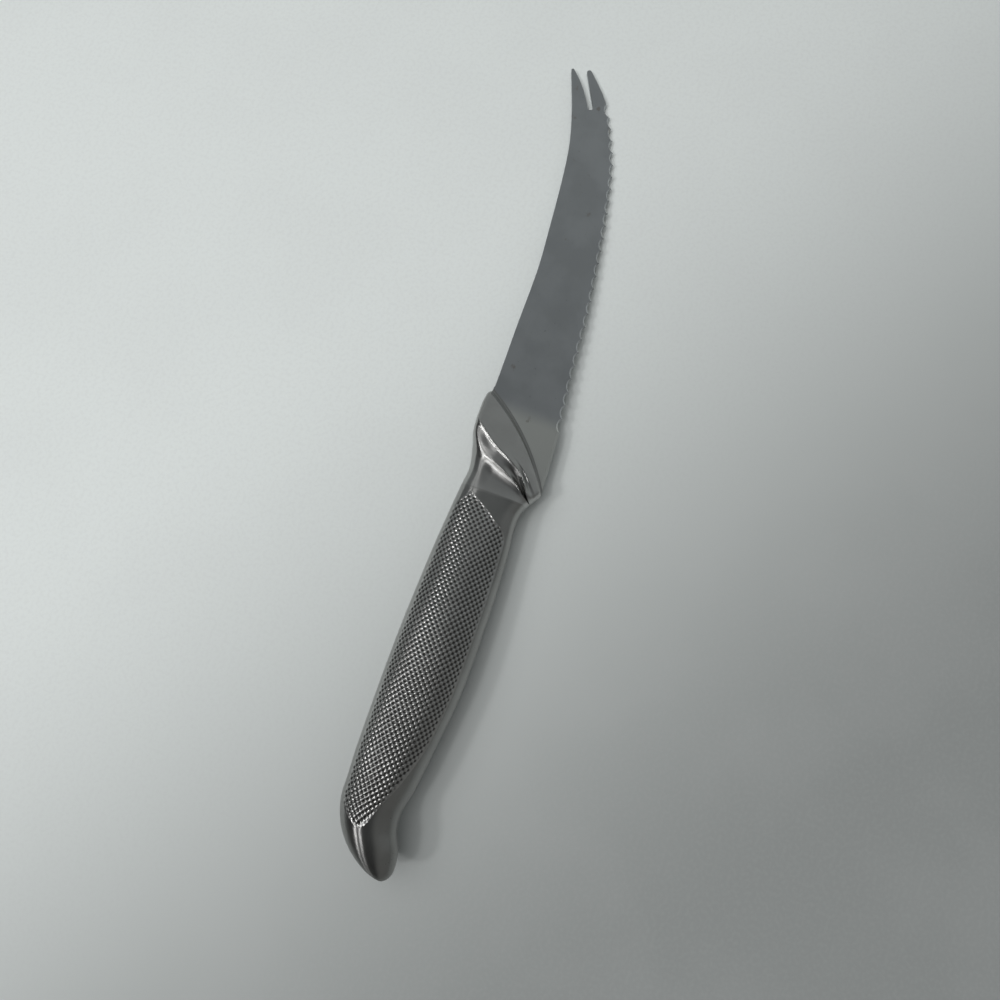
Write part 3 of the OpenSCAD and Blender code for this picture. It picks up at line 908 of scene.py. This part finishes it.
def ranged(host, source, reach, to=(0, 1)):
    """Takes a value smoothly from the ends of its reach to the ends of another."""
    rise = add_node(host, "MapRange", interpolation_type="SMOOTHSTEP")
    rise.inputs["From Min"].default_value = reach[0]
    rise.inputs["From Max"].default_value = reach[1]
    rise.inputs["To Min"].default_value = to[0]
    rise.inputs["To Max"].default_value = to[1]
    link(host, source, rise.inputs["Value"])
    return rise.outputs["Result"]


def along(host, source, way, reach):
    """How far a place or direction lies along a way, from 0 to 1 over its reach."""
    part = add_node(host, "VectorMath", operation="DOT_PRODUCT")
    part.inputs[1].default_value = way
    link(host, source, part.inputs[0])
    return ranged(host, part.outputs["Value"], reach)


def blended(host, share, under, over):
    """Two colours, each given as numbers or by a socket, mixed by share."""
    tint = add_node(host, "Mix", data_type="RGBA")
    link(host, share, tint.inputs[mix_share])
    for value, number in ((under, mix_under), (over, mix_over)):
        if isinstance(value, tuple):
            tint.inputs[number].default_value = (*value, 1)
        else:
            link(host, value, tint.inputs[number])
    return tint.outputs[mix_result]


def tint_over(material, share, colour):
    """Lays a colour over what the surface shows so far, by share."""
    base = surface_of(material).inputs["Base Color"]
    link(material, blended(material, share, base.links[0].from_socket, colour), base)


def relief(material, height, strength, distance):
    bump = add_node(material, "Bump")
    bump.inputs["Strength"].default_value = strength
    bump.inputs["Distance"].default_value = distance * MM
    link(material, height, bump.inputs["Height"])
    link(material, bump.outputs["Normal"], surface_of(material).inputs["Normal"])


# Steel

cloud_scale = 0.09
cloud_detail = 4
cloud_reach = (0.35, 0.65)
cloud_dark = 0.93
cloud_light = 1.05
speck_scale = 1.1
speck_detail = 2
speck_reach = (0.69, 0.76)
speck_dark = 0.7
scratch_detail = 4
rough_reach = (0.3, 0.7)
cloud_rough = (0.97, 1.03)
scratch_rough = (-0.03, 0.03)
round_handle = (3, 0.4, 0.4)
every_way = (1, 1, 1)
along_blade = (0.5, 3, 1)


def scaled(values, factor):
    return tuple(factor * value for value in values)


def steel(name, colour, roughness, grain, grain_scale, marks, scratch_h):
    """Satin stainless steel: fine scratches that run as the grain says, cloudy patches, a few dull specks."""
    material = new_material(name, colour, roughness)
    surface = surface_of(material)
    surface.inputs["Metallic"].default_value = 1
    cloud = noise(material, cloud_scale, cloud_detail)
    scratch = noise(material, grain_scale, scratch_detail, grain)
    speck = noise(material, speck_scale, speck_detail)
    patches = ranged(material, cloud, cloud_reach)
    tint = blended(material, patches, scaled(colour, cloud_dark), scaled(colour, cloud_light))
    link(material, tint, surface.inputs["Base Color"])
    tint_over(material, ranged(material, speck, speck_reach, (0, marks)), scaled(colour, speck_dark))
    rough = add_node(material, "Math", operation="ADD")
    link(material, ranged(material, cloud, rough_reach, scaled(cloud_rough, roughness)), rough.inputs[0])
    link(material, ranged(material, scratch, rough_reach, scratch_rough), rough.inputs[1])
    link(material, rough.outputs[0], surface.inputs["Roughness"])
    relief(material, scratch, 1, scratch_h)
    return material


def ground_steel(name, colour, roughness, brushing):
    """Smooth steel ground round the handle, which draws reflections out along x."""
    material = steel(name, colour, roughness, round_handle, grain_scale=1.5, marks=0.4, scratch_h=0.004)
    surface = surface_of(material)
    surface.inputs["Anisotropic"].default_value = brushing
    x_way = add_node(material, "CombineXYZ")
    x_way.inputs["X"].default_value = 1
    turned = add_node(
        material, "VectorTransform", vector_type="VECTOR", convert_from="OBJECT", convert_to="WORLD")
    link(material, x_way.outputs[0], turned.inputs[0])
    link(material, turned.outputs[0], surface.inputs["Tangent"])
    return material


# Painted shade: the grip's smooth steel is a darker copy of the bolster's, which dims its reflections along
# the handle; the welds share that darker tone
grip_steel = ground_steel("grip_steel", (0.36, 0.36, 0.35), 0.31, brushing=1)
bolster_steel = ground_steel("bolster_steel", (0.42, 0.42, 0.41), 0.33, brushing=0.85)
weld_steel = ground_steel("weld_steel", (0.36, 0.36, 0.35), 0.33, brushing=0.9)

# The panels' steel, and painted shade that darkens the pits of their texture

pit_shade_colour = (0.09, 0.088, 0.085)
pit_shade_reach = (0.22, 0.7)


def knurl_finish():
    material = steel(
        "knurl_steel", (0.5, 0.5, 0.49), 0.32, every_way, grain_scale=1.5, marks=0.4, scratch_h=0.004)
    sunk = add_node(material, "Attribute", attribute_name="sunk")
    # Painted shade: the deeper a point is sunk, the darker its colour, for the shade in the pits
    tint_over(material, ranged(material, sunk.outputs["Fac"], pit_shade_reach), pit_shade_colour)
    return material


# The blade's steel, paler beside the bolster, and its few stains

root_colour = (0.62, 0.63, 0.6)
root_from_x = 131
root_to_x = 136.5
stain_colour = (0.24, 0.2, 0.16)
stain_scale = 0.22
stain_detail = 4
stain_reach = (0.66, 0.74)
stain_strength = 0.5


def blade_finish():
    material = steel(
        "blade_steel", (0.42, 0.435, 0.445), 0.38, along_blade, grain_scale=1.2, marks=0.6, scratch_h=0.003)
    apart = add_node(material, "SeparateXYZ")
    link(material, own_place(material), apart.inputs[0])
    root_reach = [placed([x, 0, 0])[0] for x in (root_from_x, root_to_x)]
    tint_over(material, ranged(material, apart.outputs["X"], root_reach, (1, 0)), root_colour)
    stain = noise(material, stain_scale, stain_detail)
    tint_over(material, ranged(material, stain, stain_reach, (0, stain_strength)), stain_colour)
    return material


knurl_steel = knurl_finish()
blade_steel = blade_finish()

# What each piece is finished in: the grip's halves are smooth, and knurled inside their panels

finishes = [(right, grip_steel), (right, knurl_steel), (left, grip_steel), (left, knurl_steel),
            (seam, weld_steel), (neck, weld_steel), (bolster, bolster_steel), (braze, weld_steel),
            (blade, blade_steel)]
for piece, finish in finishes:
    piece.data.materials.append(finish)

panel_samples = np.linspace(panel_low_x, panel_high_x, 400)
panel_tops = [panel_spine_y(x) for x in panel_samples]
panel_bottoms = [panel_belly_y(x) for x in panel_samples]


def knurl_panel(shell):
    """Gives the second material to the faces inside the panel's outline, clear of the seam."""
    middles = np.empty(len(shell.data.polygons) * 3)
    shell.data.polygons.foreach_get("center", middles)
    x, y, z = ((middles.reshape(-1, 3) - origin) / MM).T
    above = y > np.interp(x, panel_samples, panel_bottoms)
    below = y < np.interp(x, panel_samples, panel_tops)
    on_panel = (x > panel_low_x) & (x < panel_high_x) & above & below & (np.abs(z) > seam_w)
    shell.data.polygons.foreach_set("material_index", on_panel.astype(int))


knurl_panel(right)
knurl_panel(left)

# The table, which the knife leans on with its grip and its fork

table_size = 8
grip_rest_x = 55
fork_rest_x = tip_x - 0.5
grip_rest = Vector(placed([grip_rest_x, 0, -grip_t / 2]))
fork_rest = Vector(placed([fork_rest_x, 0, -tip_t / 2]))
table_tilt = math.atan2(fork_rest.z - grip_rest.z, fork_rest.x - grip_rest.x)
bpy.ops.object.select_all(action="DESELECT")
bpy.ops.mesh.primitive_plane_add(size=table_size, location=grip_rest, rotation=(0, -table_tilt, 0))
table = bpy.context.object
table.name = "table"

# Painted shade: the table's paint darkens from its pale colour away from the blade, for the room's shade and
# the lamps' falloff
painted_shade_tone = (0.315, 0.33, 0.325)
paint_pale = (0.82, 0.86, 0.845)
paint_roughness = 0.6
shade_fade_way = (0.55, 0.83, 0)
shade_fade_reach = (-0.105, 0.11)
blotch_colour = (0.6, 0.61, 0.61)
blotch_reach = (0.4, 0.62)
blotch_share = 0.06
fleck_colour = (0.5, 0.5, 0.5)
fleck_reach = (0.4, 0.7)
fleck_share = 0.1


def table_finish():
    """Matt paint with painted shade, darker away from the blade and palest towards it, with faint blotches
    and flecks.
    """
    material = new_material("table_paint", paint_pale, paint_roughness)
    # Painted shade over the table, fading out towards the blade
    pale = along(material, own_place(material), shade_fade_way, shade_fade_reach)
    fleck = noise(material, scale=0.9, detail=4)
    blotch = noise(material, scale=0.02, detail=3)
    link(material, blended(material, pale, painted_shade_tone, paint_pale), surface_of(material).inputs["Base Color"])
    tint_over(material, ranged(material, blotch, blotch_reach, (0, blotch_share)), blotch_colour)
    tint_over(material, ranged(material, fleck, fleck_reach, (0, fleck_share)), fleck_colour)
    relief(material, fleck, strength=0.3, distance=0.05)
    return material


table.data.materials.append(table_finish())

# The camera: its place in metres, and the directions of its right, its top and its back

camera_place = (-0.05506, -0.02230, 0.22308)
camera_right = (0.3489, -0.9372, 0)
camera_up = (0.9215, 0.3431, 0.1822)
camera_back = (-0.1708, -0.0636, 0.9833)
camera_lens = 27.04
camera_nearest = 0.01

camera_data = bpy.data.cameras.new("camera")
camera_data.lens = camera_lens
camera_data.clip_start = camera_nearest
camera = bpy.data.objects.new("camera", camera_data)
bpy.context.scene.collection.objects.link(camera)
camera.matrix_world = Matrix.Translation(camera_place) @ Matrix(
    (camera_right, camera_up, camera_back)).transposed().to_4x4()
bpy.context.scene.camera = camera

# Light

sky_dark = (0.035, 0.035, 0.035)
sky_side = (0.17, 0.17, 0.165)
sky_near = (0.25, 0.265, 0.27)
sky_far = (0.4, 0.42, 0.42)
past_edge = (0, -1, 0)
past_tips = (1, 0, 0)
side_reach = (0.14, 0.55)
near_reach = (0.02, 0.25)
far_reach = (0.3, 0.85)


def world_light():
    """A dim room, a little paler on the edge's side and palest beyond the blade's tips."""
    world = bpy.data.worlds.new("studio")
    world.use_nodes = True
    way = add_node(world, "TexCoord").outputs["Generated"]
    sky = blended(world, along(world, way, past_edge, side_reach), sky_dark, sky_side)
    sky = blended(world, along(world, way, past_tips, near_reach), sky, sky_near)
    sky = blended(world, along(world, way, past_tips, far_reach), sky, sky_far)
    link(world, sky, world.node_tree.nodes["Background"].inputs["Color"])
    bpy.context.scene.world = world


def lamp(name, towards, distance, size, power):
    """A round lamp that stands in a direction from the knife and faces it."""
    data = bpy.data.lights.new(name, "AREA")
    data.shape = "DISK"
    data.size = size
    data.energy = power
    made = bpy.data.objects.new(name, data)
    place = Vector(towards).normalized() * distance
    made.location = place
    made.rotation_euler = place.to_track_quat("Z", "Y").to_euler()
    bpy.context.scene.collection.objects.link(made)
    return made


world_light()
lamp("ceiling_lamp_a", (-0.320, 0.298, 0.899), distance=1.5, size=0.16, power=2)
lamp("ceiling_lamp_b", (-0.400, 0.520, 0.755), distance=1.5, size=0.16, power=2.8)
fill = lamp("fill_lamp", (-0.08, 0.34, 0.9), distance=1, size=1.2, power=5.8)
fill.visible_glossy = False

bpy.context.scene.view_settings.view_transform = "Standard"
